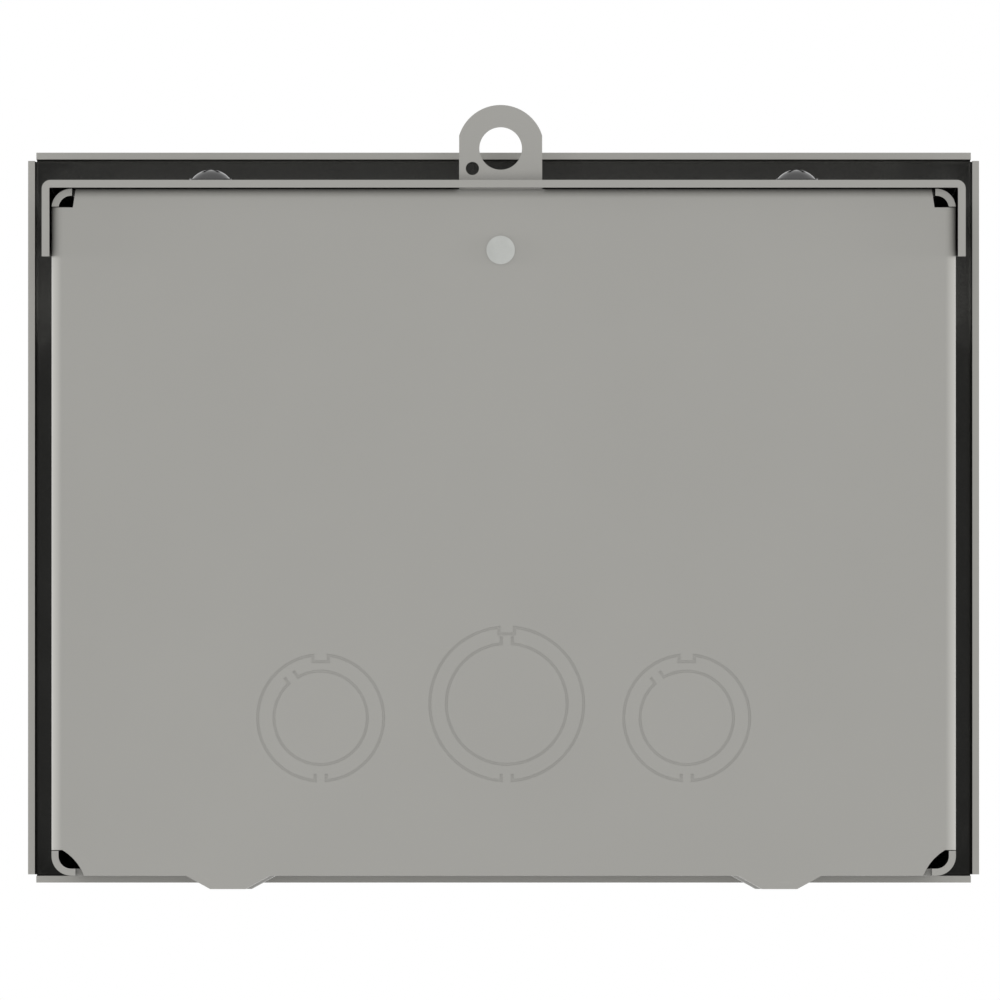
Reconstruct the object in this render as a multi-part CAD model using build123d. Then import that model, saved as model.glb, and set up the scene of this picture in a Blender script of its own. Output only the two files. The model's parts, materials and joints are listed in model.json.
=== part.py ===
from build123d import *

import math
import os

# A rainproof residential load center: a small outdoor breaker panel with a lift-up cover.
# Millimetres. +X is right as seen from the front, -Y is the front and +Z is up.
# The origin is the centre of the four wall-mounting holes, in the plane of the wall.

# ---- driving dimensions: enclosure ----
SHEET = 1.6
BOX_WIDTH = 208.0
BOX_DEPTH = 158.0
WALL_GAP = 3.1
BOX_BOTTOM_Z = -150.0
BOX_CORNER_R = 4.5
EDGE_BEND_R = 2.4
RETURN_FLANGE = 18.0
SIDE_FLANGE_HEIGHT = 12.0
FRONT_FLANGE_HEIGHT = 22.0
SEAM = 0.2

# ---- driving dimensions: feet and wall holes ----
WALL_HOLES_X = 127.0
WALL_HOLES_Z = 254.0
WALL_HOLE_R = 3.2
FOOT_BASE = 19.3
FOOT_TIP = 8.0
FOOT_HEIGHT = 52.0
LOW_FOOT_RISE = 18.0
HIGH_FOOT_DROP = 3.0

# ---- driving dimensions: cover and its pivots ----
COVER_SHEET = 1.75
COVER_WIDTH = 212.5
COVER_LEG_DEPTH = 17.6
COVER_LEG_TAPER = 4.6
COVER_GAP = 0.25
COVER_DROP = 2.6
COVER_CORNER_R = 2.0
PIVOT_Z = 142.0
PIVOT_BEHIND_FACE = 8.8
PIVOT_R = 2.4
RUNNING_GAP = 0.08
COVER_ABOVE_PIVOT = 20.0
COVER_SCREW_X = 67.4
COVER_SCREW_ABOVE_BOTTOM = 13.0
SCREW_R = 2.4
SCREW_HOLE_R = 2.8

# ---- driving dimensions: rain hood and hub plate ----
HOOD_WIDTH = 225.2
HOOD_FRONT_GAP = 9.65
HOOD_REACH_PAST_BACK = 1.6
HOOD_ABOVE_PIVOT = 23.5
HOOD_LIP_ABOVE_PIVOT = 9.6
HOOD_CORNER_NOTCH = 1.95
HUB_HOLE_R = 32.0
HUB_Y = -62.0
HUB_PLATE_SIZE = 92.0
HUB_SCREW_OFFSET = 37.0

# ---- driving dimensions: padlock hasp ----
HASP_THICKNESS = 1.9
HASP_WIDTH = 19.1
HASP_TIP_R = 10.0
PADLOCK_HOLE_R = 4.9
PADLOCK_HOLE_REACH = 7.3
SEAL_HOLE_R = 1.525
SEAL_HOLE_OFFSET = (-6.5, 4.6)
HASP_INNER_REACH = 25.0
RIVET_BEHIND_FACE = 16.1
RIVET_HEAD_R = 3.28
RIVET_R = 2.4

# ---- driving dimensions: knockouts ----
SMALL_KO_RADII = (10.75, 14.5)
LARGE_KO_RADII = (13.9, 17.7)
GROOVE_WIDTH = 0.65
GROOVE_DEPTH = 0.28
WIDE_TIE = 2.9
NARROW_TIE = 1.9
TICK_LENGTH = 1.6
SMALL_KO_X = 42.1
SMALL_KO_FROM_WALL = 39.4
LARGE_KO_X = 0.7
LARGE_KO_FROM_WALL = 42.6
SIDE_KO_Z = -108.0

# ---- driving dimensions: breakers ----
ROW_PITCH = 25.4
ROW_COUNT = 3
TOP_ROW_Z = 45.4
BREAKERS = [("1", -1, 0), ("2", 1, 0), ("3", -1, 1), ("4", 1, 1)]
BREAKER_WIDTH = 24.8
BREAKER_BACK_Y = -50.0
BREAKER_SHOULDER_Y = -108.0
BREAKER_NOSE_Y = -122.0
BREAKER_INNER_X = 3.0
BREAKER_OUTER_X = 78.0
NOSE_INNER_X = 14.0
NOSE_OUTER_X = 58.0
TERMINAL_X = 72.5
TERMINAL_Y = -93.0
TERMINAL_BORE_R = 3.4
TERMINAL_BORE_BEHIND = 14.0
HANDLE_PIVOT = (36.0, -112.0)
HANDLE_WIDTH = 7.0
HANDLE_ROTOR_R = 9.0
HANDLE_REACH = 19.5
HANDLE_TILT = 18.0
HANDLE_CLEARANCE = 0.5
HANDLE_PIN_R = 1.5
HANDLE_MOUTH_HALF = 8.2

# ---- driving dimensions: pan, insulator, bus bars and lugs ----
PAN_SHEET = 1.5
PAN_FRONT_Y = -22.0
PAN_HALF_WIDTH = 84.0
PAN_Z = (-75.0, 100.0)
PAN_LIP = 8.0
PAN_SCREW_ZS = (-60.0, 88.0)
PAN_SCREW_R = 2.0
INSULATOR_HALF_WIDTH = 34.0
INSULATOR_Z = (-24.0, 98.0)
INSULATOR_POCKET_X = 27.0
BUS_BACK_Y = -44.0
BUS_THICKNESS = 3.2
BUS_X = (14.0, 26.0)
STAB_HALF_LENGTH = 11.0
STAB_REACH = 16.0
LUG_Z = (74.0, 96.0)
LUG_DEPTH = 18.0
SET_SCREW_R = 4.0
SET_SCREW_PROUD = 3.0

# ---- driving dimensions: neutral and ground bars ----
BAR_SCREW_R = 2.2
BAR_WIRE_INSET = 5.5
NEUTRAL_X = (-56.0, 48.0)
NEUTRAL_Y = (-46.0, -34.0)
NEUTRAL_Z = (-67.0, -57.0)
NEUTRAL_SCREW_XS = [-50.0 + 9.0 * i for i in range(8)]
NEUTRAL_WIRE_R = 2.7
NEUTRAL_LUG_X = (29.0, 47.0)
NEUTRAL_LUG_DEPTH = 16.0
BONDING_X = 22.0
STANDOFF_XS = (-44.0, 34.0)
STANDOFF_HALF = 6.0
GROUND_X = (-45.0, 45.0)
GROUND_DEPTH = 11.0
GROUND_Z = (-117.0, -107.0)
GROUND_SCREW_XS = [-36.0 + 12.0 * i for i in range(7)]
GROUND_WIRE_R = 2.5

# ---- driving dimensions: dead front ----
DEADFRONT_SHEET = 1.2
DEADFRONT_BACK_Y = -118.0
DEADFRONT_X = 97.0
DEADFRONT_Z = (-118.0, 128.0)
DEADFRONT_LIP = 9.0
DEADFRONT_SCREWS = [(x, z) for x in (-89.0, 89.0) for z in (-100.0, 108.0)]
DEADFRONT_SCREW_R = 2.2
BRACKET_SHEET = 1.5
BRACKET_INNER_X = 82.0
BRACKET_HALF_HEIGHT = 9.0
BRACKET_DEPTH = 14.0
WINDOW_GAP = 0.5

# ---- derived places ----
BOX_BACK_Y = -WALL_GAP
BOX_FRONT_Y = BOX_BACK_Y - BOX_DEPTH
BOX_MID_Y = (BOX_BACK_Y + BOX_FRONT_Y) / 2
BOX_SIDE_X = BOX_WIDTH / 2
BOX_INNER_X = BOX_SIDE_X - SHEET
BACK_INNER_Y = BOX_BACK_Y - SHEET
FLOOR_Z = BOX_BOTTOM_Z + SHEET
COVER_INNER_Y = BOX_FRONT_Y - COVER_GAP
COVER_FACE_Y = COVER_INNER_Y - COVER_SHEET
COVER_SIDE_X = COVER_WIDTH / 2
COVER_BOTTOM_Z = BOX_BOTTOM_Z - COVER_DROP
COVER_TOP_Z = PIVOT_Z + COVER_ABOVE_PIVOT
COVER_REAR_Y = COVER_FACE_Y + COVER_LEG_DEPTH
PIVOT_Y = COVER_FACE_Y + PIVOT_BEHIND_FACE
COVER_SCREW_Z = BOX_BOTTOM_Z + COVER_SCREW_ABOVE_BOTTOM
HOOD_UNDER_Z = PIVOT_Z + HOOD_ABOVE_PIVOT
HOOD_TOP_Z = HOOD_UNDER_Z + SHEET
HOOD_LIP_Z = PIVOT_Z + HOOD_LIP_ABOVE_PIVOT
HOOD_FRONT_Y = COVER_FACE_Y - HOOD_FRONT_GAP - SHEET
HOOD_REAR_Y = BOX_BACK_Y + HOOD_REACH_PAST_BACK
FRONT_NOTCH_Y = BOX_FRONT_Y + 4.3
FRONT_NOTCH_X = BOX_SIDE_X - 4.9
FRONT_NOTCH_SLANT = 0.8
REAR_NOTCH_Y = BOX_BACK_Y - 5.9
REAR_NOTCH_X = BOX_SIDE_X - 7.5
REAR_SLIT = 2.0
REAR_SLIT_HEIGHT = 4.0
HASP_Z = (FLOOR_Z, FLOOR_Z + HASP_THICKNESS)
HASP_X = -0.7
PADLOCK_Y = COVER_FACE_Y - PADLOCK_HOLE_REACH
RIVET_Y = COVER_FACE_Y + RIVET_BEHIND_FACE
FULL_HEIGHT = (BOX_BOTTOM_Z - 50, HOOD_TOP_Z + 50)
DEADFRONT_FRONT_Y = DEADFRONT_BACK_Y - DEADFRONT_SHEET
ROW_ZS = [TOP_ROW_Z - ROW_PITCH * row for row in range(ROW_COUNT)]
BUS_FRONT_Y = BUS_BACK_Y - BUS_THICKNESS
SIDES = (-1, 1)


# ---- shared shapes ----
def block(x, y, z):
    """A box between the given limits, each a (low, high) pair."""
    size = Box(x[1] - x[0], y[1] - y[0], z[1] - z[0], align=(Align.MIN, Align.MIN, Align.MIN))
    return Pos(x[0], y[0], z[0]) * size


def rod(axis, centre, radius, low, high):
    """A round bar along an axis. centre holds its other two coordinates, in X, Y, Z order."""
    bar = Cylinder(radius, high - low, align=(Align.CENTER, Align.CENTER, Align.MIN))
    if axis == "X":
        return Pos(low, centre[0], centre[1]) * Rot(0, 90, 0) * bar
    if axis == "Y":
        return Pos(centre[0], low, centre[1]) * Rot(-90, 0, 0) * bar
    return Pos(centre[0], centre[1], low) * bar


def prism(points, z):
    """A solid with a polygon of (x, y) points as its plan, between two heights."""
    face = make_face(Polyline(*points, close=True))
    return Pos(0, 0, z[0]) * extrude(face, z[1] - z[0])


def both_sides(solid):
    """The solid and its mirror image across the middle plane."""
    return solid + mirror(solid, Plane.YZ)


def pan(width, length, depth, bend_r, sheet):
    """A folded pan centred on the Z axis: its plate lies on z 0 and its four flanges rise to depth."""
    outer = Pos(0, 0, depth / 2) * Box(width, length, depth)
    outer = fillet(outer.edges().group_by(Axis.Z)[0], bend_r)
    inner = Pos(0, 0, sheet + depth / 2) * Box(width - 2 * sheet, length - 2 * sheet, depth)
    inner = fillet(inner.edges().group_by(Axis.Z)[0], bend_r - sheet)
    return outer - inner


def screw(head_r, head_height, shank_r, shank_length):
    """A pan-head screw along +Y from its seat at the origin, with its head towards -Y."""
    head = rod("Y", (0, 0), head_r, -head_height, 0)
    head = fillet(head.edges().group_by(Axis.Y)[0], head_height * 0.6)
    slot = block((-head_r, head_r), (-head_height - 1, -head_height * 0.5), (-0.5, 0.5))
    return head - slot + rod("Y", (0, 0), shank_r, 0, shank_length)


def score_ring(radius, ties):
    """One ring of score grooves on the XY plane, broken at each tie.

    A tie is (angle, width, side, closed): its two ticks run inwards for side -1 or outwards for
    side 1, and a closed tie has a groove across their ends.
    """
    tall = 3 * GROOVE_DEPTH
    ring = Cylinder(radius + GROOVE_WIDTH / 2, 2 * GROOVE_DEPTH)
    ring -= Cylinder(radius - GROOVE_WIDTH / 2, tall)
    for angle, width, side, closed in ties:
        ring -= Rot(0, 0, angle) * Pos(radius, 0, 0) * Box(4, width, tall)
        tick = Box(TICK_LENGTH, GROOVE_WIDTH, 2 * GROOVE_DEPTH)
        for end in SIDES:
            place = Pos(radius + side * TICK_LENGTH / 2, end * (width + GROOVE_WIDTH) / 2, 0)
            ring += Rot(0, 0, angle) * place * tick
        if closed:
            bar = Box(GROOVE_WIDTH, width + 2 * GROOVE_WIDTH, 2 * GROOVE_DEPTH)
            ring += Rot(0, 0, angle) * Pos(radius + side * TICK_LENGTH, 0, 0) * bar
    return ring


def small_knockout():
    """Score rings for half-inch or three-quarter-inch conduit fittings."""
    inner, outer = SMALL_KO_RADII
    outer_ties = [(90, NARROW_TIE, -1, False), (270, WIDE_TIE, -1, True)]
    return [score_ring(inner, [(234, NARROW_TIE, 1, False)]), score_ring(outer, outer_ties)]


def large_knockout():
    """Score rings for three-quarter-inch or one-inch conduit fittings."""
    inner, outer = LARGE_KO_RADII
    outer_ties = [(90, NARROW_TIE, -1, False), (270, WIDE_TIE, -1, True)]
    return [score_ring(inner, [(270, NARROW_TIE, 1, False)]), score_ring(outer, outer_ties)]


# ---- enclosure ----
def foot_frustum(shrink, low_y, high_y):
    """A truncated pyramid for one embossed foot, widest at low_y and smaller all round by shrink."""
    taper = FOOT_BASE - FOOT_TIP
    base_face = Plane.XZ.offset(-low_y) * Rectangle(FOOT_BASE - shrink, FOOT_HEIGHT - shrink)
    tip_size = (FOOT_TIP - shrink, FOOT_HEIGHT - taper - shrink)
    return loft([base_face, Plane.XZ.offset(-high_y) * Rectangle(*tip_size)])


def foot_solids():
    """The outer form and the hollow of one foot, centred at x 0, z 0, standing out to the wall."""
    run = (FOOT_BASE - FOOT_TIP) / 2
    shrink = 2 * SHEET * math.tan(math.atan2(WALL_GAP, run) / 2)
    outer = foot_frustum(0, BOX_BACK_Y, 0)
    hollow = foot_frustum(shrink, BACK_INNER_Y, -SHEET)
    return outer, hollow


def foot_places():
    """The four feet as (x, z of the hole, z of the embossed form's middle)."""
    for x in (-WALL_HOLES_X / 2, WALL_HOLES_X / 2):
        yield x, WALL_HOLES_Z / 2, WALL_HOLES_Z / 2 - HIGH_FOOT_DROP
        yield x, -WALL_HOLES_Z / 2, BOX_BOTTOM_Z + LOW_FOOT_RISE


def box_wrapper():
    """The back and side walls, folded from one sheet, with front returns and embossed feet."""
    plan = RectangleRounded(BOX_WIDTH, BOX_DEPTH, BOX_CORNER_R)
    plan -= RectangleRounded(BOX_WIDTH - 2 * SHEET, BOX_DEPTH - 2 * SHEET, BOX_CORNER_R - SHEET)
    wrapper = Pos(0, BOX_MID_Y, BOX_BOTTOM_Z) * extrude(plan, HOOD_UNDER_Z - BOX_BOTTOM_Z)
    opening_x = BOX_SIDE_X - RETURN_FLANGE
    wrapper -= block((-opening_x, opening_x), (BOX_FRONT_Y - 1, BOX_FRONT_Y + 10), FULL_HEIGHT)
    wrapper -= both_sides(side_flange_seat())
    front_seat_x = FRONT_NOTCH_X + SEAM
    front_seat_z = (BOX_BOTTOM_Z - 1, BOX_BOTTOM_Z + FRONT_FLANGE_HEIGHT + SEAM)
    front_seat_y = (BOX_FRONT_Y - 1, BOX_FRONT_Y + SHEET + 0.5)
    wrapper -= block((-front_seat_x, front_seat_x), front_seat_y, front_seat_z)
    rear_seat_x = REAR_NOTCH_X + REAR_SLIT
    rear_seat_y = (BACK_INNER_Y - 0.1, BOX_BACK_Y + 0.1)
    wrapper -= block((-rear_seat_x, rear_seat_x), rear_seat_y, (BOX_BOTTOM_Z - 1, FLOOR_Z))
    slit_z = (BOX_BOTTOM_Z - 1, FLOOR_Z + REAR_SLIT_HEIGHT)
    wrapper -= both_sides(block((REAR_NOTCH_X, rear_seat_x), rear_seat_y, slit_z))
    bend_room = EDGE_BEND_R - SHEET + 0.05
    rear_edge_y = (BOX_BACK_Y - bend_room, BOX_BACK_Y + 1)
    rear_edge_z = (HOOD_UNDER_Z - bend_room, HOOD_UNDER_Z + 1)
    wrapper -= block((-BOX_WIDTH, BOX_WIDTH), rear_edge_y, rear_edge_z)
    wrapper -= cover_swing_room()
    outer, hollow = foot_solids()
    below = block((-BOX_SIDE_X, BOX_SIDE_X), (-10, 10), (BOX_BOTTOM_Z - 50, BOX_BOTTOM_Z))
    for x, z, middle_z in foot_places():
        place = Pos(x, 0, middle_z)
        wrapper = wrapper + (place * outer - below) - place * hollow
        wrapper -= rod("Y", (x, z), WALL_HOLE_R, -10, 10)
    pivot_hole_r = PIVOT_R + RUNNING_GAP
    wrapper -= rod("X", (PIVOT_Y, PIVOT_Z), pivot_hole_r, -BOX_SIDE_X - 1, BOX_SIDE_X + 1)
    for side in SIDES:
        place = Pos(side * BOX_SIDE_X, -SMALL_KO_FROM_WALL, SIDE_KO_Z) * Rot(0, 90, 0)
        for groove in small_knockout():
            wrapper -= place * groove
    return wrapper


def side_flange_seat():
    """The room below the right wall that the end wall's side flange fills."""
    x = (BOX_INNER_X - 0.5, BOX_SIDE_X + 1)
    y = (FRONT_NOTCH_Y - SEAM, REAR_NOTCH_Y + SEAM)
    return block(x, y, (BOX_BOTTOM_Z - 1, BOX_BOTTOM_Z + SIDE_FLANGE_HEIGHT + SEAM))


def cover_swing_room():
    """The space at the top of the front that the turning cover sweeps."""
    swing_r = PIVOT_Y - COVER_INNER_Y - 0.35
    rear_y = PIVOT_Y + math.hypot(COVER_ABOVE_PIVOT, PIVOT_BEHIND_FACE) + 0.8
    width = (-BOX_SIDE_X - 1, BOX_SIDE_X + 1)
    corner = block(width, (BOX_FRONT_Y - 1, PIVOT_Y), (PIVOT_Z, HOOD_UNDER_Z + 1))
    corner -= rod("X", (PIVOT_Y, PIVOT_Z), swing_r, *width)
    return corner + block(width, (PIVOT_Y, rear_y), (PIVOT_Z + swing_r, HOOD_UNDER_Z + 1))


def rear_relief():
    """The plan of the material left out at the bottom wall's right rear corner."""
    start = (BOX_SIDE_X + 1, REAR_NOTCH_Y)
    arc_start = (BOX_SIDE_X - 2.5, REAR_NOTCH_Y)
    arc_middle = (BOX_SIDE_X - 5.1, BOX_BACK_Y - 3.8)
    arc_end = (REAR_NOTCH_X, BOX_BACK_Y)
    outline = Line(start, arc_start) + ThreePointArc(arc_start, arc_middle, arc_end)
    rear_y = BOX_BACK_Y + 1
    outline += Polyline(arc_end, (REAR_NOTCH_X, rear_y), (BOX_SIDE_X + 1, rear_y), start)
    return Pos(0, 0, FULL_HEIGHT[0]) * extrude(make_face(outline), FULL_HEIGHT[1] - FULL_HEIGHT[0])


def front_relief():
    """The material left out at the bottom wall's right front corner."""
    inner_x = FRONT_NOTCH_X
    points = [
        (BOX_SIDE_X + 1, FRONT_NOTCH_Y),
        (inner_x, FRONT_NOTCH_Y),
        (inner_x - FRONT_NOTCH_SLANT, BOX_FRONT_Y - 1),
        (BOX_SIDE_X + 1, BOX_FRONT_Y - 1),
    ]
    return prism(points, FULL_HEIGHT)


def foot_tab(x):
    """A tab of the bottom wall that closes the open end of one foot."""
    run = (FOOT_BASE - FOOT_TIP) / 2
    inset = SHEET * math.tan(math.atan2(WALL_GAP, run) / 2)
    tip_half = FOOT_TIP / 2 - inset
    base_half = tip_half + (WALL_GAP - SHEET) * run / WALL_GAP
    points = [
        (x - base_half, BOX_BACK_Y),
        (x - tip_half, -SHEET),
        (x + tip_half, -SHEET),
        (x + base_half, BOX_BACK_Y),
    ]
    return prism(points, (BOX_BOTTOM_Z, FLOOR_Z))


def bottom_wall():
    """The bottom end wall: three flanges bent up, three knockouts and two foot tabs."""
    trimmed = 10.0
    blank = pan(BOX_WIDTH, BOX_DEPTH + trimmed, FRONT_FLANGE_HEIGHT, EDGE_BEND_R, SHEET)
    wall = Pos(0, BOX_MID_Y + trimmed / 2, BOX_BOTTOM_Z) * blank
    wall -= block((-BOX_WIDTH, BOX_WIDTH), (BOX_BACK_Y, BOX_BACK_Y + 2 * trimmed), FULL_HEIGHT)
    high_side_y = (FRONT_NOTCH_Y - 0.1, BOX_BACK_Y + 1)
    high_side_z = (BOX_BOTTOM_Z + SIDE_FLANGE_HEIGHT, BOX_BOTTOM_Z + FRONT_FLANGE_HEIGHT + 1)
    wall -= both_sides(block((BOX_INNER_X - 0.5, BOX_SIDE_X + 1), high_side_y, high_side_z))
    wall -= both_sides(front_relief())
    wall -= both_sides(rear_relief())
    for x in (-WALL_HOLES_X / 2, WALL_HOLES_X / 2):
        wall += foot_tab(x)
    slot_x = (HASP_X - HASP_WIDTH / 2 - 0.3, HASP_X + HASP_WIDTH / 2 + 0.3)
    wall -= block(slot_x, (BOX_FRONT_Y - 1, BOX_FRONT_Y + 2.5), (HASP_Z[0], HASP_Z[1] + 0.3))
    wall -= rod("Z", (HASP_X, RIVET_Y), RIVET_R, BOX_BOTTOM_Z - 1, FLOOR_Z + 1)
    for x in (-COVER_SCREW_X, COVER_SCREW_X):
        wall -= rod("Y", (x, COVER_SCREW_Z), SCREW_HOLE_R, BOX_FRONT_Y - 1, BOX_FRONT_Y + 3)
    for groove in large_knockout():
        wall -= Pos(LARGE_KO_X, -LARGE_KO_FROM_WALL, BOX_BOTTOM_Z) * groove
    for x in (-SMALL_KO_X, SMALL_KO_X):
        for groove in small_knockout():
            wall -= Pos(x, -SMALL_KO_FROM_WALL, BOX_BOTTOM_Z) * groove
    return wall


def top_wall():
    """The top end wall below the hood, a pan with its flanges down."""
    top_z = PIVOT_Z + 5.9
    front_y = PIVOT_Y - 2.0
    flange_depth = 12.0
    length = BACK_INNER_Y - front_y
    blank = pan(2 * BOX_INNER_X, length, flange_depth, EDGE_BEND_R, SHEET)
    wall = Pos(0, front_y + length / 2, top_z) * Rot(180, 0, 0) * blank
    pin_room_z = (top_z - flange_depth - 1, top_z - EDGE_BEND_R + 0.8)
    wall -= both_sides(block((99.0, BOX_SIDE_X), (front_y - 1, PIVOT_Y + 6), pin_room_z))
    corner_x = (BOX_INNER_X - BOX_CORNER_R, BOX_SIDE_X)
    wall -= both_sides(block(corner_x, (BACK_INNER_Y - BOX_CORNER_R, BOX_BACK_Y), FULL_HEIGHT))
    foot_room_z = (top_z - flange_depth - 1, top_z - EDGE_BEND_R)
    foot_room_y = (BACK_INNER_Y - SHEET - 1, BACK_INNER_Y + 1)
    for x in (-WALL_HOLES_X / 2, WALL_HOLES_X / 2):
        wall -= block((x - 12, x + 12), foot_room_y, foot_room_z)
    return wall - rod("Z", (0, HUB_Y), HUB_HOLE_R, top_z - 5, top_z + 5)


def rain_hood():
    """The cap over the top of the box, with four flanges down and open corners."""
    length = HOOD_REAR_Y - HOOD_FRONT_Y
    blank = pan(HOOD_WIDTH, length, HOOD_TOP_Z - HOOD_LIP_Z, EDGE_BEND_R, SHEET)
    hood = Pos(0, HOOD_FRONT_Y + length / 2, HOOD_TOP_Z) * Rot(180, 0, 0) * blank
    inner_x = HOOD_WIDTH / 2 - HOOD_CORNER_NOTCH
    notch_x = (inner_x, HOOD_WIDTH / 2 + 1)
    hood -= both_sides(block(notch_x, (HOOD_FRONT_Y - 1, HOOD_FRONT_Y + HOOD_CORNER_NOTCH), FULL_HEIGHT))
    hood -= both_sides(block(notch_x, (HOOD_REAR_Y - HOOD_CORNER_NOTCH, HOOD_REAR_Y + 1), FULL_HEIGHT))
    hood -= rod("Z", (0, HUB_Y), HUB_HOLE_R, HOOD_UNDER_Z - 1, HOOD_TOP_Z + 1)
    for x, y in hub_screw_places():
        hood -= rod("Z", (x, y), SCREW_R, HOOD_UNDER_Z - 1, HOOD_TOP_Z + 1)
    return hood


# ---- hub closing plate ----
def hub_screw_places():
    """The plan positions of the four screws round the hub hole."""
    for x in (-HUB_SCREW_OFFSET, HUB_SCREW_OFFSET):
        for y in (HUB_Y - HUB_SCREW_OFFSET, HUB_Y + HUB_SCREW_OFFSET):
            yield x, y


def hub_gasket():
    """The thin gasket between the hood and the hub closing plate."""
    face = RectangleRounded(HUB_PLATE_SIZE - 3, HUB_PLATE_SIZE - 3, 5) - Circle(HUB_HOLE_R + 2)
    gasket = Pos(0, HUB_Y, HOOD_TOP_Z) * extrude(face, 1.0)
    for x, y in hub_screw_places():
        gasket -= rod("Z", (x, y), SCREW_R, HOOD_TOP_Z - 1, HOOD_TOP_Z + 2)
    return gasket


def hub_closing_plate():
    """The plate that shuts the hub hole, with a raised middle."""
    base_z = HOOD_TOP_Z + 1.0
    plate = Pos(0, HUB_Y, base_z) * extrude(RectangleRounded(HUB_PLATE_SIZE, HUB_PLATE_SIZE, 6), SHEET)
    raised = Pos(0, HUB_Y, base_z + SHEET) * extrude(Circle(HUB_HOLE_R - 4), 1.4, taper=35)
    plate += raised
    for x, y in hub_screw_places():
        plate -= rod("Z", (x, y), SCREW_R, base_z - 1, base_z + SHEET + 1)
    return plate


def hub_plate_screws():
    """The four screws of the hub closing plate."""
    seat_z = HOOD_TOP_Z + 1.0 + SHEET
    upright = Rot(90, 0, 0) * Rot(0, 0, 180) * screw(4.3, 2.2, SCREW_R, 9.0)
    return [Pos(x, y, seat_z) * upright for x, y in hub_screw_places()]


# ---- cover ----
def front_cover():
    """The lift-up front cover: a flat face with a leg along each side that narrows upwards."""
    y = (COVER_FACE_Y, COVER_REAR_Y)
    z = (COVER_BOTTOM_Z, COVER_TOP_Z)
    outer = block((-COVER_SIDE_X, COVER_SIDE_X), y, z)
    outer = fillet(outer.edges().filter_by(Axis.Z).group_by(Axis.Y)[0], COVER_CORNER_R)
    inner_x = COVER_SIDE_X - COVER_SHEET
    inner = block((-inner_x, inner_x), (COVER_INNER_Y, COVER_REAR_Y + 1), (z[0] - 1, z[1] + 1))
    inner = fillet(inner.edges().filter_by(Axis.Z).group_by(Axis.Y)[0], COVER_CORNER_R - COVER_SHEET)
    cover = outer - inner
    rear_edge = Polyline(
        (COVER_REAR_Y, z[0]), (COVER_REAR_Y - COVER_LEG_TAPER, z[1]), (COVER_REAR_Y, z[1]), close=True
    )
    cover -= extrude(Plane.YZ * make_face(rear_edge), COVER_SIDE_X, both=True)
    slot_x = (HASP_X - HASP_WIDTH / 2 - 0.5, HASP_X + HASP_WIDTH / 2 + 0.5)
    slot_z = (HASP_Z[0] - 1.7, HASP_Z[1] + 0.5)
    cover -= block(slot_x, (COVER_FACE_Y - 1, COVER_INNER_Y + 1), slot_z)
    for x in (-COVER_SCREW_X, COVER_SCREW_X):
        cover -= rod("Y", (x, COVER_SCREW_Z), SCREW_HOLE_R, COVER_FACE_Y - 1, COVER_INNER_Y + 1)
    return cover - rod("X", (PIVOT_Y, PIVOT_Z), PIVOT_R, -COVER_SIDE_X - 1, COVER_SIDE_X + 1)


def cover_pivot_pins():
    """Two pivot pins, flush with the cover's legs and headed inside the box."""
    head_x = BOX_INNER_X - 0.3
    head_thickness = 1.2
    pin = rod("X", (PIVOT_Y, PIVOT_Z), PIVOT_R, head_x - head_thickness, COVER_SIDE_X)
    pin += rod("X", (PIVOT_Y, PIVOT_Z), PIVOT_R + 1.2, head_x - head_thickness, head_x)
    return [pin, mirror(pin, Plane.YZ)]


def cover_screw(x):
    """A domed cover screw with a thin collar and a cross recess, driven from the front."""
    head_r = 4.7
    head_height = 2.6
    collar_r = 4.93
    collar_height = 0.5
    dome_r = (head_r**2 + head_height**2) / (2 * head_height)
    dome = Pos(x, COVER_FACE_Y - head_height + dome_r, COVER_SCREW_Z) * Sphere(dome_r)
    span = (x - head_r - 2, x + head_r + 2)
    height = (COVER_SCREW_Z - head_r - 2, COVER_SCREW_Z + head_r + 2)
    dome &= block(span, (COVER_FACE_Y - head_height - 1, COVER_FACE_Y), height)
    collar_low_y = COVER_FACE_Y - collar_height
    dome += rod("Y", (x, COVER_SCREW_Z), collar_r, collar_low_y, COVER_FACE_Y)
    recess_y = (COVER_FACE_Y - head_height - 1, COVER_FACE_Y - 1.1)
    for tilt in (45, -45):
        arm = block((-2.6, 2.6), recess_y, (-0.5, 0.5))
        dome -= Pos(x, 0, COVER_SCREW_Z) * Rot(0, tilt, 0) * arm
    return dome + rod("Y", (x, COVER_SCREW_Z), SCREW_R, COVER_FACE_Y, BOX_FRONT_Y + SHEET + 6.4)


def cover_weld_nuts():
    """The two nuts welded behind the bottom wall's front flange for the cover screws."""
    nuts = []
    seat_y = BOX_FRONT_Y + SHEET
    for x in (-COVER_SCREW_X, COVER_SCREW_X):
        hexagon = extrude(RegularPolygon(5.2, 6), 4.0)
        nut = Pos(x, seat_y, COVER_SCREW_Z) * Rot(-90, 0, 0) * hexagon
        nuts.append(nut - rod("Y", (x, COVER_SCREW_Z), SCREW_HOLE_R, seat_y - 1, seat_y + 5))
    return nuts


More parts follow.
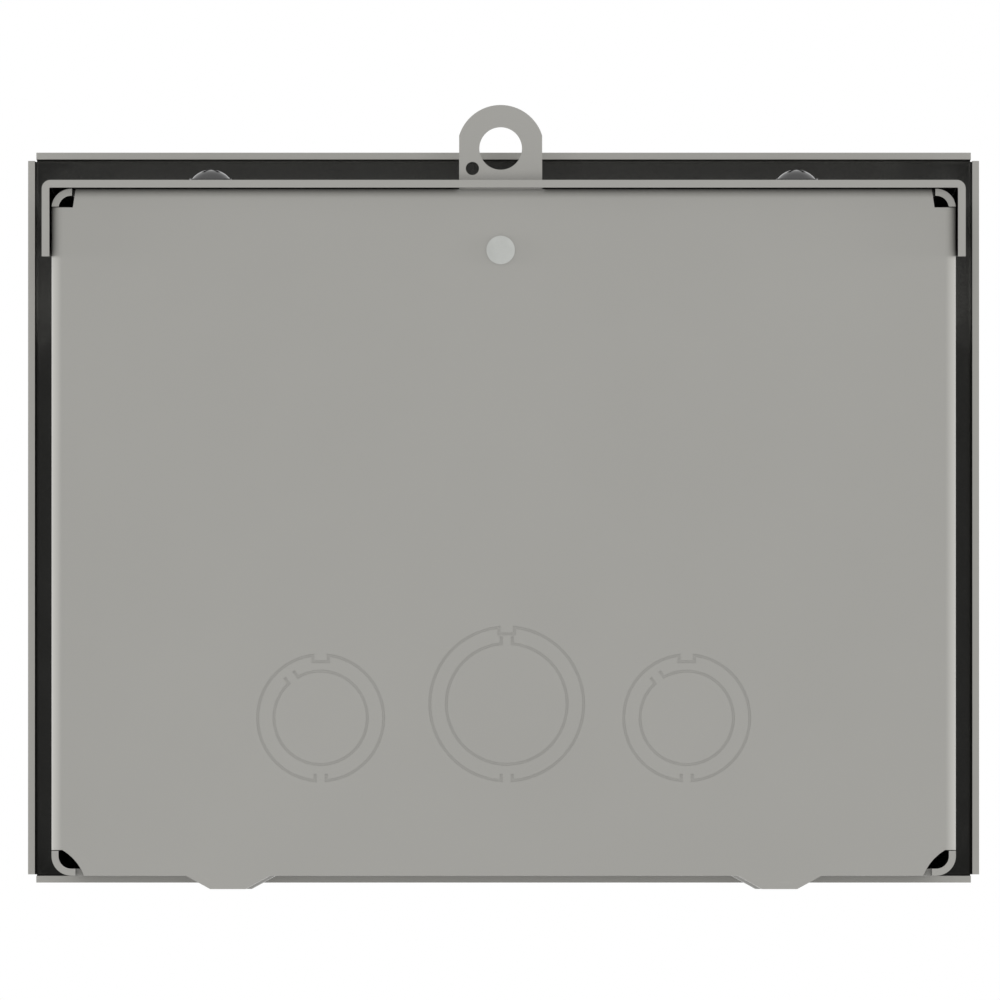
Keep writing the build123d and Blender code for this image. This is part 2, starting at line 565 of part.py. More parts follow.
# ---- padlock hasp ----
def hasp_plate():
    """The flat hasp that lies on the bottom wall and stands out through the cover."""
    rear_y = COVER_FACE_Y + HASP_INNER_REACH
    x = (HASP_X - HASP_WIDTH / 2, HASP_X + HASP_WIDTH / 2)
    plate = block(x, (PADLOCK_Y - HASP_TIP_R, rear_y), HASP_Z)
    tip = rod("Z", (HASP_X, PADLOCK_Y), HASP_TIP_R, *HASP_Z)
    body = block(x, (PADLOCK_Y, rear_y), HASP_Z)
    plate &= tip + body
    plate -= rod("Z", (HASP_X, PADLOCK_Y), PADLOCK_HOLE_R, HASP_Z[0] - 1, HASP_Z[1] + 1)
    seal = (HASP_X + SEAL_HOLE_OFFSET[0], PADLOCK_Y + SEAL_HOLE_OFFSET[1])
    plate -= rod("Z", seal, SEAL_HOLE_R, HASP_Z[0] - 1, HASP_Z[1] + 1)
    return plate - rod("Z", (HASP_X, RIVET_Y), RIVET_R, HASP_Z[0] - 1, HASP_Z[1] + 1)


def hasp_rivet():
    """The flat-headed rivet that holds the hasp to the bottom wall."""
    rivet = rod("Z", (HASP_X, RIVET_Y), RIVET_R, BOX_BOTTOM_Z, HASP_Z[1])
    rivet += rod("Z", (HASP_X, RIVET_Y), RIVET_HEAD_R, BOX_BOTTOM_Z - 0.6, BOX_BOTTOM_Z)
    return rivet + rod("Z", (HASP_X, RIVET_Y), RIVET_HEAD_R, HASP_Z[1], HASP_Z[1] + 1.2)


# ---- interior: pan, insulator, bus bars and lugs ----
def interior_pan():
    """The galvanised pan that carries the interior, a hat section screwed to the back wall."""
    outer_x = PAN_HALF_WIDTH
    inner_x = outer_x - PAN_SHEET
    lip_x = outer_x + PAN_LIP
    lip_y = BACK_INNER_Y - PAN_SHEET
    plate_y = PAN_FRONT_Y + PAN_SHEET
    right = [(inner_x, plate_y), (inner_x, BACK_INNER_Y), (lip_x, BACK_INNER_Y)]
    right += [(lip_x, lip_y), (outer_x, lip_y), (outer_x, PAN_FRONT_Y)]
    left = [(-x, y) for x, y in reversed(right)]
    pan_body = prism(right + left, PAN_Z)
    for x, z in pan_screw_places():
        pan_body -= rod("Y", (x, z), PAN_SCREW_R, lip_y - 1, BACK_INNER_Y + 1)
    return pan_body


def pan_screw_places():
    """The centres of the four screws through the pan's lips."""
    for side in SIDES:
        for z in PAN_SCREW_ZS:
            yield side * (PAN_HALF_WIDTH + PAN_LIP / 2), z


def pan_screws():
    """The four screws of the interior pan."""
    seat_y = BACK_INNER_Y - PAN_SHEET
    one = screw(3.4, 2.0, PAN_SCREW_R, PAN_SHEET)
    return [Pos(x, seat_y, z) * one for x, z in pan_screw_places()]


def insulator_base():
    """The moulded base that keeps the bus bars off the pan, ribbed between the rows."""
    x = (-INSULATOR_HALF_WIDTH, INSULATOR_HALF_WIDTH)
    base = block(x, (BUS_BACK_Y, PAN_FRONT_Y), INSULATOR_Z)
    base = fillet(base.edges().filter_by(Axis.Y), 4.0)
    for row_z in ROW_ZS:
        pocket_z = (row_z - 9, row_z + 9)
        for side in SIDES:
            pocket_x = sorted((side * INSULATOR_POCKET_X, side * (INSULATOR_HALF_WIDTH + 1)))
            base -= block(pocket_x, (BUS_BACK_Y - 1, BUS_BACK_Y + 8), pocket_z)
    return base


def bus_bar(side, rows, top_z):
    """A bus bar on one side of the middle, with a stab for each of its rows."""
    bar_x = sorted((side * BUS_X[0], side * BUS_X[1]))
    bottom_z = ROW_ZS[-1] - 10
    bar = block(bar_x, (BUS_FRONT_Y, BUS_BACK_Y), (bottom_z, top_z))
    for row in rows:
        row_z = ROW_ZS[row]
        arm_x = sorted((side * BUS_X[0], -side * STAB_HALF_LENGTH))
        bar += block(arm_x, (BUS_FRONT_Y, BUS_BACK_Y), (row_z - 6, row_z + 6))
        blade_y = (BREAKER_BACK_Y - STAB_REACH, BUS_FRONT_Y)
        bar += block((-STAB_HALF_LENGTH, STAB_HALF_LENGTH), blade_y, (row_z - 1, row_z + 1))
    return bar


def main_lug(side):
    """An aluminium main lug on one bus bar, with its cable bore upright."""
    x = sorted((side * (BUS_X[0] - 2), side * (BUS_X[1] + 2)))
    middle_x = side * sum(BUS_X) / 2
    front_y = BUS_FRONT_Y - LUG_DEPTH
    lug = block(x, (front_y, BUS_FRONT_Y), LUG_Z)
    lug = fillet(lug.edges().filter_by(Axis.Z).group_by(Axis.Y)[0], 3.0)
    bore_y = BUS_FRONT_Y - 8.0
    lug -= rod("Z", (middle_x, bore_y), 5.5, LUG_Z[0] - 1, LUG_Z[1] + 1)
    return lug - rod("Y", (middle_x, sum(LUG_Z) / 2), SET_SCREW_R, front_y - 1, bore_y)


def lug_set_screw(x, z, front_y, reach):
    """A hexagon-socket set screw that stands a little out of a lug's front."""
    body = rod("Y", (x, z), SET_SCREW_R, front_y - SET_SCREW_PROUD, front_y + reach)
    body = chamfer(body.edges().group_by(Axis.Y)[0], 0.5)
    hexagon = extrude(RegularPolygon(2.4, 6), SET_SCREW_PROUD + 0.5)
    return body - Pos(x, front_y - SET_SCREW_PROUD - 0.5, z) * Rot(-90, 0, 0) * hexagon


def main_lug_screws():
    """The set screws of the two main lugs."""
    front_y = BUS_FRONT_Y - LUG_DEPTH
    middle_x = sum(BUS_X) / 2
    return [lug_set_screw(side * middle_x, sum(LUG_Z) / 2, front_y, 4.4) for side in SIDES]


def breaker_rail(side):
    """The rail that hooks the outer ends of one column of breakers."""
    web_x = (BREAKER_OUTER_X - 1.5, BREAKER_OUTER_X)
    lip_y = (BREAKER_BACK_Y - 8.0, BREAKER_BACK_Y - 6.5)
    foot_y = (PAN_FRONT_Y - 1.5, PAN_FRONT_Y)
    z = (ROW_ZS[-1] - ROW_PITCH / 2, ROW_ZS[0] + ROW_PITCH / 2)
    rail = block(web_x, (lip_y[0], PAN_FRONT_Y), z)
    rail += block((BREAKER_OUTER_X - 5.4, web_x[1]), lip_y, z)
    rail += block((BREAKER_OUTER_X - 10.0, web_x[1]), foot_y, z)
    return rail if side > 0 else mirror(rail, Plane.YZ)


# ---- breakers ----
def breaker_case(side, row):
    """One single-pole plug-on breaker body, in the right column or mirrored to the left."""
    inner = BREAKER_INNER_X
    outer = BREAKER_OUTER_X
    back = BREAKER_BACK_Y
    points = [
        (inner, back - 6),
        (inner, BREAKER_SHOULDER_Y + 8),
        (inner + 8, BREAKER_SHOULDER_Y),
        (NOSE_INNER_X, BREAKER_SHOULDER_Y),
        (NOSE_INNER_X, BREAKER_NOSE_Y),
        (NOSE_OUTER_X, BREAKER_NOSE_Y),
        (NOSE_OUTER_X, BREAKER_SHOULDER_Y),
        (NOSE_OUTER_X + 6, BREAKER_SHOULDER_Y),
        (outer - 12, TERMINAL_Y),
        (outer, TERMINAL_Y),
        (outer, back - 10),
        (outer - 6, back - 10),
        (outer - 6, back - 2),
        (outer - 18, back),
        (inner + 16, back),
        (inner + 16, back - 6),
    ]
    z = (ROW_ZS[row] - BREAKER_WIDTH / 2, ROW_ZS[row] + BREAKER_WIDTH / 2)
    case = prism(points, z)
    case = fillet(case.edges().filter_by(Axis.Z).group_by(Axis.Y)[0], 1.5)
    middle = ROW_ZS[row]
    case -= block((inner - 1, 13.5), (back - 18, back + 1), (middle - 1.8, middle + 1.8))
    pocket_half = HANDLE_WIDTH / 2 + HANDLE_CLEARANCE
    pocket_z = (middle - pocket_half, middle + pocket_half)
    case -= rod("Z", HANDLE_PIVOT, HANDLE_ROTOR_R + HANDLE_CLEARANCE, *pocket_z)
    mouth_x = (HANDLE_PIVOT[0] - HANDLE_MOUTH_HALF, HANDLE_PIVOT[0] + HANDLE_MOUTH_HALF)
    case -= block(mouth_x, (BREAKER_NOSE_Y - 1, HANDLE_PIVOT[1]), pocket_z)
    pin_half = HANDLE_WIDTH / 2 + 2.5
    case -= rod("Z", HANDLE_PIVOT, HANDLE_PIN_R + RUNNING_GAP, middle - pin_half, middle + pin_half)
    bore_y = TERMINAL_Y + TERMINAL_BORE_BEHIND
    case -= rod("X", (bore_y, middle), TERMINAL_BORE_R, outer - 14, outer + 1)
    case -= rod("Y", (TERMINAL_X, middle), 3.6, TERMINAL_Y - 1, TERMINAL_Y + 9)
    return case if side > 0 else mirror(case, Plane.YZ)


def breaker_handle(side, row):
    """A breaker's toggle on its rotor, resting in the ON position towards the middle."""
    middle = ROW_ZS[row]
    z = (middle - HANDLE_WIDTH / 2, middle + HANDLE_WIDTH / 2)
    rotor = rod("Z", (0, 0), HANDLE_ROTOR_R, *z)
    lever = prism([(-3.6, 0), (-2.6, -HANDLE_REACH), (2.6, -HANDLE_REACH), (3.6, 0)], z)
    lever = fillet(lever.edges().filter_by(Axis.Z).group_by(Axis.Y)[0], 1.2)
    pin_half = HANDLE_WIDTH / 2 + 2.2
    pin = rod("Z", (0, 0), HANDLE_PIN_R, middle - pin_half, middle + pin_half)
    handle = Pos(*HANDLE_PIVOT, 0) * Rot(0, 0, -HANDLE_TILT) * (rotor + lever + pin)
    return handle if side > 0 else mirror(handle, Plane.YZ)


def breaker_terminal_screws():
    """The wire-clamp screws at the breakers' outer ends."""
    screws = []
    for _, side, row in BREAKERS:
        place = Pos(side * TERMINAL_X, TERMINAL_Y + 1.5, ROW_ZS[row])
        screws.append(place * screw(3.3, 2.0, 2.4, 6.0))
    return screws


# ---- neutral and ground bars ----
def wire_bar(x, y, z, screw_xs, hole_r):
    """A terminal bar with an upright wire hole and a screw hole at each position."""
    bar = block(x, y, z)
    wire_y = y[0] + BAR_WIRE_INSET
    for screw_x in screw_xs:
        bar -= rod("Z", (screw_x, wire_y), hole_r, z[0] - 1, z[1] + 1)
        bar -= rod("Y", (screw_x, sum(z) / 2), BAR_SCREW_R, y[0] - 1, wire_y)
    return bar


def neutral_bar():
    """The insulated neutral bar."""
    bar = wire_bar(NEUTRAL_X, NEUTRAL_Y, NEUTRAL_Z, NEUTRAL_SCREW_XS, NEUTRAL_WIRE_R)
    through_y = (NEUTRAL_Y[0] - 1, NEUTRAL_Y[1] + 1)
    return bar - rod("Y", (BONDING_X, sum(NEUTRAL_Z) / 2), BAR_SCREW_R, *through_y)


def ground_bar():
    """The ground bar on the back wall."""
    y = (BACK_INNER_Y - GROUND_DEPTH, BACK_INNER_Y)
    return wire_bar(GROUND_X, y, GROUND_Z, GROUND_SCREW_XS, GROUND_WIRE_R)


def bar_screws(front_y, z, screw_xs):
    """The wire screws along one terminal bar."""
    middle = sum(z) / 2
    one = screw(3.2, 2.2, BAR_SCREW_R, 2.6)
    return [Pos(x, front_y, middle) * one for x in screw_xs]


def neutral_standoffs():
    """The two insulating blocks behind the neutral bar."""
    blocks = []
    for x in STANDOFF_XS:
        post_x = (x - STANDOFF_HALF, x + STANDOFF_HALF)
        post = block(post_x, (NEUTRAL_Y[1], PAN_FRONT_Y), NEUTRAL_Z)
        blocks.append(fillet(post.edges().filter_by(Axis.Y), 2.0))
    return blocks


def neutral_lug():
    """The large lug for the incoming neutral, in front of the bar's end."""
    z = (NEUTRAL_Z[0] - 4, NEUTRAL_Z[1] + 4)
    front_y = NEUTRAL_Y[0] - NEUTRAL_LUG_DEPTH
    lug = block(NEUTRAL_LUG_X, (front_y, NEUTRAL_Y[0]), z)
    lug = fillet(lug.edges().filter_by(Axis.Z).group_by(Axis.Y)[0], 3.0)
    middle_x = sum(NEUTRAL_LUG_X) / 2
    bore_y = NEUTRAL_Y[0] - 7.0
    lug -= rod("Z", (middle_x, bore_y), 5.0, z[0] - 1, z[1] + 1)
    return lug - rod("Y", (middle_x, sum(z) / 2), SET_SCREW_R, front_y - 1, bore_y)


def bonding_screw():
    """The screw that bonds the neutral bar to the pan."""
    length = PAN_FRONT_Y - NEUTRAL_Y[0]
    one = screw(4.2, 2.8, BAR_SCREW_R, length)
    return Pos(BONDING_X, NEUTRAL_Y[0], sum(NEUTRAL_Z) / 2) * one


# ---- dead front ----
def dead_front():
    """The inner panel with a window over each column of breakers."""
    height = DEADFRONT_Z[1] - DEADFRONT_Z[0]
    blank = pan(2 * DEADFRONT_X, height, DEADFRONT_LIP, 2.0, DEADFRONT_SHEET)
    place = Pos(0, DEADFRONT_BACK_Y, sum(DEADFRONT_Z) / 2) * Rot(90, 0, 0)
    panel = place * blank
    window_x = (NOSE_INNER_X - WINDOW_GAP, NOSE_OUTER_X + WINDOW_GAP)
    window_y = (DEADFRONT_FRONT_Y - 1, DEADFRONT_BACK_Y + 1)
    half_row = ROW_PITCH / 2 + WINDOW_GAP
    window = block(window_x, window_y, (ROW_ZS[-1] - half_row, ROW_ZS[0] + half_row))
    panel -= both_sides(window)
    for x, z in DEADFRONT_SCREWS:
        panel -= rod("Y", (x, z), DEADFRONT_SCREW_R, DEADFRONT_FRONT_Y - 1, DEADFRONT_BACK_Y + 1)
    return panel


def dead_front_brackets():
    """Four angle brackets on the side walls that carry the dead front."""
    brackets = []
    front_y = DEADFRONT_BACK_Y
    lip_y = front_y + BRACKET_SHEET
    for x, z in DEADFRONT_SCREWS:
        side = math.copysign(1, x)
        span_z = (z - BRACKET_HALF_HEIGHT, z + BRACKET_HALF_HEIGHT)
        lip_x = sorted((side * BRACKET_INNER_X, side * BOX_INNER_X))
        web_x = sorted((side * (BOX_INNER_X - BRACKET_SHEET), side * BOX_INNER_X))
        bracket = block(lip_x, (front_y, lip_y), span_z)
        bracket += block(web_x, (front_y, front_y + BRACKET_DEPTH), span_z)
        brackets.append(bracket - rod("Y", (x, z), DEADFRONT_SCREW_R, front_y - 1, lip_y + 1))
    return brackets


def dead_front_screws():
    """The four screws of the dead front."""
    one = screw(4.2, 2.4, DEADFRONT_SCREW_R, 7.0)
    return [Pos(x, DEADFRONT_FRONT_Y, z) * one for x, z in DEADFRONT_SCREWS]


def space_fillers():
    """Snap-in covers for the two unused spaces of the bottom row."""
    row_z = ROW_ZS[-1]
    flange_half = ROW_PITCH / 2 + 0.2
    plug_half = ROW_PITCH / 2 - 0.6
    face_y = (DEADFRONT_FRONT_Y - 1.8, DEADFRONT_FRONT_Y)
    face = block((NOSE_INNER_X - 1.6, NOSE_OUTER_X + 1.6), face_y, (row_z - 14, row_z + flange_half - 0.6))
    face = fillet(face.edges().group_by(Axis.Y)[0], 0.6)
    plug_y = (DEADFRONT_FRONT_Y, DEADFRONT_BACK_Y + 5)
    plug = block((NOSE_INNER_X, NOSE_OUTER_X), plug_y, (row_z - plug_half, row_z + plug_half))
    hollow_y = (DEADFRONT_FRONT_Y + 0.6, DEADFRONT_BACK_Y + 6)
    hollow_x = (NOSE_INNER_X + 1.5, NOSE_OUTER_X - 1.5)
    plug -= block(hollow_x, hollow_y, (row_z - plug_half + 1.5, row_z + plug_half - 1.5))
    filler = face + plug
    return [filler, mirror(filler, Plane.YZ)]


# ---- write one file for each piece ----
def pieces():
    """Every piece by name; a list is a group of separate solids."""
    found = {
        "box_wrapper": box_wrapper(),
        "bottom_wall": bottom_wall(),
        "top_wall": top_wall(),
        "rain_hood": rain_hood(),
        "hub_gasket": hub_gasket(),
        "hub_closing_plate": hub_closing_plate(),
        "hub_plate_screws": hub_plate_screws(),
        "front_cover": front_cover(),
        "cover_pivot_pins": cover_pivot_pins(),
        "cover_screw_left": cover_screw(-COVER_SCREW_X),
        "cover_screw_right": cover_screw(COVER_SCREW_X),
        "cover_weld_nuts": cover_weld_nuts(),
        "hasp_plate": hasp_plate(),
        "hasp_rivet": hasp_rivet(),
        "interior_pan": interior_pan(),
        "pan_screws": pan_screws(),
        "insulator_base": insulator_base(),
        "bus_bar_left": bus_bar(-1, (0, 2), LUG_Z[1] + 2),
        "bus_bar_right": bus_bar(1, (1,), LUG_Z[1] + 2),
        "main_lug_left": main_lug(-1),
        "main_lug_right": main_lug(1),
        "main_lug_screws": main_lug_screws(),
        "breaker_rail_left": breaker_rail(-1),
        "breaker_rail_right": breaker_rail(1),
        "breaker_terminal_screws": breaker_terminal_screws(),
        "neutral_bar": neutral_bar(),
        "neutral_bar_screws": bar_screws(NEUTRAL_Y[0], NEUTRAL_Z, NEUTRAL_SCREW_XS),
        "neutral_standoffs": neutral_standoffs(),
        "neutral_lug": neutral_lug(),
        "neutral_lug_screw": lug_set_screw(
            sum(NEUTRAL_LUG_X) / 2, sum(NEUTRAL_Z) / 2, NEUTRAL_Y[0] - NEUTRAL_LUG_DEPTH, 3.8
        ),
        "bonding_screw": bonding_screw(),
        "ground_bar": ground_bar(),
        "ground_bar_screws": bar_screws(BACK_INNER_Y - GROUND_DEPTH, GROUND_Z, GROUND_SCREW_XS),
        "dead_front": dead_front(),
        "dead_front_brackets": dead_front_brackets(),
        "dead_front_screws": dead_front_screws(),
        "space_fillers": space_fillers(),
    }
    for name, side, row in BREAKERS:
        found[f"breaker_{name}_case"] = breaker_case(side, row)
        found[f"breaker_{name}_handle"] = breaker_handle(side, row)
    return found


def write_all():
    """Exports each piece to its own file in parts/."""
    os.makedirs("parts", exist_ok=True)
    for name, shape in pieces().items():
        solids = shape if isinstance(shape, list) else [shape]
        whole = Compound(children=[solid for piece in solids for solid in piece.solids()])
        export_step(whole, f"parts/{name}.step")


write_all()
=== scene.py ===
"""A residential load center: procedural finishes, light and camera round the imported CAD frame.

The object hangs on a wall and is seen from straight below, with its front towards the top of the
picture. Every length is in metres and every place is worked out from the frame.
"""

import json
import math

import bmesh
import bpy
from mathutils import Matrix, Vector


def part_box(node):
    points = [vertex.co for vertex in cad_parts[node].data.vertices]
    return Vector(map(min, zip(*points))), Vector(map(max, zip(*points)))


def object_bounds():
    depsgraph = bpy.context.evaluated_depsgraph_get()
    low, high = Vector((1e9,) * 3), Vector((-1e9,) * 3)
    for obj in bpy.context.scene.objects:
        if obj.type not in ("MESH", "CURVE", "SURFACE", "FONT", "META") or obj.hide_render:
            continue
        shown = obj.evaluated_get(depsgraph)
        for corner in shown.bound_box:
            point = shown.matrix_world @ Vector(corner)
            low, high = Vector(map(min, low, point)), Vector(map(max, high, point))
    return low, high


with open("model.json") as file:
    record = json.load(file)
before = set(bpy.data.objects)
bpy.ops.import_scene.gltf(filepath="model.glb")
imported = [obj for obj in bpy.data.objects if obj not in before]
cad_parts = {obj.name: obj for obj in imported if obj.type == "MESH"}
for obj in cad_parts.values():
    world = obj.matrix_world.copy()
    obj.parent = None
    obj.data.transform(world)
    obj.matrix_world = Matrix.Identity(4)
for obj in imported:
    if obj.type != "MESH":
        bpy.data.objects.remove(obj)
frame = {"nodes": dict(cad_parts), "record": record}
cad_low, cad_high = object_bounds()

# ---- picture ----
VIEW_WIDTH = 0.230
LENS_MM = 1600.0
SENSOR_MM = 36.0
FRAME_SHIFT = (-0.00085, 0.0007)
CLIP_START = 0.1

# ---- light: how strong each source is, its spread in degrees and the way it shines ----
WHITE = (1.0, 1.0, 1.0, 1.0)
WORLD_STRENGTH = 0.46
SEEN_STRENGTH = 1.0
UNDER_STRENGTH = 1.60
UNDER_SPREAD = 4.0
UNDER_DIRECTION = (0.0, 0.0, 1.0)
SIDE_STRENGTH = 2.9
SIDE_SPREAD = 20.0
KEY_STRENGTH = 1.9
KEY_SPREAD = 30.0
KEY_DIRECTION = (0.55, 0.75, -0.85)

# ---- floor ----
FLOOR_HALF_SIZE = 8.0
FLOOR_DROP = 0.0005
FLOOR_DARK = (0.70, 0.70, 0.69)
FLOOR_LIGHT = (0.74, 0.74, 0.73)
FLOOR_ROUGHNESS = 0.8

# ---- finishes: what the patterns are stretched from and to ----
NOISE_RANGE = (0.3, 0.7)
FULL_RANGE = (0.0, 1.0)

# ---- finishes, painted shade: the share of open sky at which a face keeps its own colour, and at which it is painted all dark ----
METAL_PAINTED_SHADE = (0.60, 0.05)
ENAMEL_PAINTED_SHADE = (0.50, -0.50)
HOOD_PAINTED_SHADE = (0.90, 0.45)
HASP_PAINTED_SHADE = (0.65, 0.05)
WRAPPER_PAINTED_SHADE = (0.62, 0.10)

# ---- finishes: how far painted shade reaches from a corner, and how wide an edge is worn ----
ENAMEL_PAINTED_SHADE_REACH = 0.006
HOOD_PAINTED_SHADE_REACH = 0.022
PLATED_PAINTED_SHADE_REACH = 0.0025
SPANGLED_PAINTED_SHADE_REACH = 0.004
WORN_EDGE = 0.0005
RUBBED_EDGE = 0.0004

# ---- finishes: colours and shine ----
PAINT = (0.318, 0.313, 0.294)
# the near-black colour mixed in as painted shade where crevices and hollows lie in shade
SHADE_BLACK = (0.012, 0.012, 0.011)
ENAMEL_SHINE = 0.5
HOOD_INSIDE_SHINE = 0.25

# a face of the hood looks into it when it faces its mouth's middle by more than this
FACING_INWARD = 0.001


def new_material(name):
    """An empty node material with its principled shader, as (material, nodes, links, shader)."""
    material = bpy.data.materials.new(name)
    material.use_nodes = True
    nodes = material.node_tree.nodes
    links = material.node_tree.links
    return material, nodes, links, nodes["Principled BSDF"]


def coordinates(nodes):
    """Object coordinates: CAD meshes hold their own places, so patterns don't repeat between pieces."""
    return nodes.new("ShaderNodeTexCoord").outputs["Object"]


def noise(nodes, links, vector, per_metre, detail=4.0, roughness=0.55, stretch=None):
    """A noise pattern of so many features per metre, stretched along an axis if asked."""
    texture = nodes.new("ShaderNodeTexNoise")
    texture.inputs["Scale"].default_value = per_metre
    texture.inputs["Detail"].default_value = detail
    texture.inputs["Roughness"].default_value = roughness
    if stretch is not None:
        mapping = nodes.new("ShaderNodeMapping")
        mapping.inputs["Scale"].default_value = stretch
        links.new(vector, mapping.inputs["Vector"])
        vector = mapping.outputs["Vector"]
    links.new(vector, texture.inputs["Vector"])
    return texture.outputs["Fac"]


def remap(nodes, links, value, source, target):
    """The value moved from one range to another and held inside it."""
    node = nodes.new("ShaderNodeMapRange")
    node.clamp = True
    node.inputs["From Min"].default_value, node.inputs["From Max"].default_value = source
    node.inputs["To Min"].default_value, node.inputs["To Max"].default_value = target
    links.new(value, node.inputs["Value"])
    return node.outputs["Result"]


def multiply(nodes, links, first, second):
    """The product of two values."""
    node = nodes.new("ShaderNodeMath")
    node.operation = "MULTIPLY"
    links.new(first, node.inputs[0])
    links.new(second, node.inputs[1])
    return node.outputs["Value"]


def mix_colour(nodes, links, share, first, second):
    """Two colours mixed by a share; each is a socket or three numbers."""
    node = nodes.new("ShaderNodeMix")
    node.data_type = "RGBA"
    links.new(share, node.inputs["Factor"])
    for socket, colour in ((node.inputs["A"], first), (node.inputs["B"], second)):
        if isinstance(colour, tuple):
            socket.default_value = (*colour, 1.0)
        else:
            links.new(colour, socket)
    return node.outputs["Result"]


def bump(nodes, links, height, distance, strength):
    """A normal bent by a height pattern."""
    node = nodes.new("ShaderNodeBump")
    node.inputs["Strength"].default_value = strength
    node.inputs["Distance"].default_value = distance
    links.new(height, node.inputs["Height"])
    return node.outputs["Normal"]


def edge_share(nodes, links, radius, blunt=(0.99, 0.80)):
    """Near 1 along convex and concave edges, where a rounded normal leaves the true one."""
    bevel = nodes.new("ShaderNodeBevel")
    bevel.samples = 2
    bevel.inputs["Radius"].default_value = radius
    geometry = nodes.new("ShaderNodeNewGeometry")
    dot = nodes.new("ShaderNodeVectorMath")
    dot.operation = "DOT_PRODUCT"
    links.new(bevel.outputs["Normal"], dot.inputs[0])
    links.new(geometry.outputs["Normal"], dot.inputs[1])
    return remap(nodes, links, dot.outputs["Value"], blunt, FULL_RANGE)


def painted_shade_share(nodes, links, reach, shade_range=METAL_PAINTED_SHADE):
    """Painted shade: near 1 in narrow gaps and inside corners, 0 on open faces."""
    occlusion = nodes.new("ShaderNodeAmbientOcclusion")
    occlusion.samples = 4
    occlusion.inputs["Distance"].default_value = reach
    return remap(nodes, links, occlusion.outputs["AO"], shade_range, FULL_RANGE)


def shade(tone, factor):
    """A colour made lighter or darker."""
    return tuple(min(1.0, channel * factor) for channel in tone)


def enamel(name, reach=ENAMEL_PAINTED_SHADE_REACH, shade_range=ENAMEL_PAINTED_SHADE, shine=ENAMEL_SHINE):
    """Baked gray enamel: a faint orange peel, painted shade darkening its crevices, and thin worn edges.
    """
    material, nodes, links, shader = new_material(name)
    place = coordinates(nodes)
    cloud = remap(nodes, links, noise(nodes, links, place, per_metre=22.0), NOISE_RANGE, FULL_RANGE)
    colour = mix_colour(nodes, links, cloud, shade(PAINT, 0.985), shade(PAINT, 1.015))
    scuffs = remap(nodes, links, noise(nodes, links, place, per_metre=260.0), (0.5, 0.7), (0.0, 0.35))
    worn = multiply(nodes, links, edge_share(nodes, links, WORN_EDGE), scuffs)
    colour = mix_colour(nodes, links, worn, colour, shade(PAINT, 1.35))
    # painted shade: the colour goes towards near-black where the occlusion node finds a crevice or
    # hollow
    colour = mix_colour(nodes, links, painted_shade_share(nodes, links, reach, shade_range), colour, SHADE_BLACK)
    links.new(colour, shader.inputs["Base Color"])
    gloss = remap(nodes, links, noise(nodes, links, place, per_metre=90.0), NOISE_RANGE, (0.36, 0.46))
    links.new(gloss, shader.inputs["Roughness"])
    peel = noise(nodes, links, place, per_metre=900.0, detail=2.0)
    links.new(bump(nodes, links, peel, distance=0.00003, strength=0.25), shader.inputs["Normal"])
    shader.inputs["Specular IOR Level"].default_value = shine
    return material


def plated(name, tone, rough, grain=(1.0, 1.0, 1.0)):
    """A plated or bare metal with fine drawn grain, duller patches and painted shade darkening its
    recesses.
    """
    material, nodes, links, shader = new_material(name)
    place = coordinates(nodes)
    patches = remap(nodes, links, noise(nodes, links, place, per_metre=140.0), (0.35, 0.65), FULL_RANGE)
    colour = mix_colour(nodes, links, patches, shade(tone, 0.93), shade(tone, 1.04))
    # painted shade in the recesses
    colour = mix_colour(nodes, links, painted_shade_share(nodes, links, PLATED_PAINTED_SHADE_REACH), colour, SHADE_BLACK)
    links.new(colour, shader.inputs["Base Color"])
    shader.inputs["Metallic"].default_value = 1.0
    lines = noise(nodes, links, place, per_metre=1500.0, detail=3.0, roughness=0.6, stretch=grain)
    dulled = remap(nodes, links, lines, NOISE_RANGE, (rough * 0.8, rough * 1.25))
    links.new(dulled, shader.inputs["Roughness"])
    links.new(bump(nodes, links, lines, distance=0.00002, strength=0.3), shader.inputs["Normal"])
    return material


def spangled(name, tone):
    """Galvanised sheet with the crystal pattern of hot-dip zinc."""
    material, nodes, links, shader = new_material(name)
    place = coordinates(nodes)
    crystals = nodes.new("ShaderNodeTexVoronoi")
    crystals.inputs["Scale"].default_value = 160.0
    links.new(place, crystals.inputs["Vector"])
    split = nodes.new("ShaderNodeSeparateColor")
    links.new(crystals.outputs["Color"], split.inputs["Color"])
    colour = mix_colour(nodes, links, split.outputs["Red"], shade(tone, 0.88), shade(tone, 1.08))
    # painted shade in the hollows
    colour = mix_colour(nodes, links, painted_shade_share(nodes, links, SPANGLED_PAINTED_SHADE_REACH), colour, SHADE_BLACK)
    links.new(colour, shader.inputs["Base Color"])
    shader.inputs["Metallic"].default_value = 1.0
    frosted = remap(nodes, links, split.outputs["Green"], FULL_RANGE, (0.38, 0.55))
    links.new(frosted, shader.inputs["Roughness"])
    grain = noise(nodes, links, place, per_metre=1200.0)
    links.new(bump(nodes, links, grain, distance=0.00002, strength=0.25), shader.inputs["Normal"])
    return material


def moulded(name, tone, rough):
    """Moulded plastic with a spark-eroded texture, lighter where its corners are rubbed."""
    material, nodes, links, shader = new_material(name)
    place = coordinates(nodes)
    cloud = remap(nodes, links, noise(nodes, links, place, per_metre=80.0), NOISE_RANGE, FULL_RANGE)
    colour = mix_colour(nodes, links, cloud, shade(tone, 0.85), shade(tone, 1.15))
    rubbed = edge_share(nodes, links, RUBBED_EDGE)
    colour = mix_colour(nodes, links, rubbed, colour, shade(tone, 2.0))
    links.new(colour, shader.inputs["Base Color"])
    pits = noise(nodes, links, place, per_metre=2200.0, detail=3.0)
    pitted = remap(nodes, links, pits, NOISE_RANGE, (rough * 0.85, rough * 1.2))
    links.new(pitted, shader.inputs["Roughness"])
    links.new(bump(nodes, links, pits, distance=0.00004, strength=0.4), shader.inputs["Normal"])
    return material


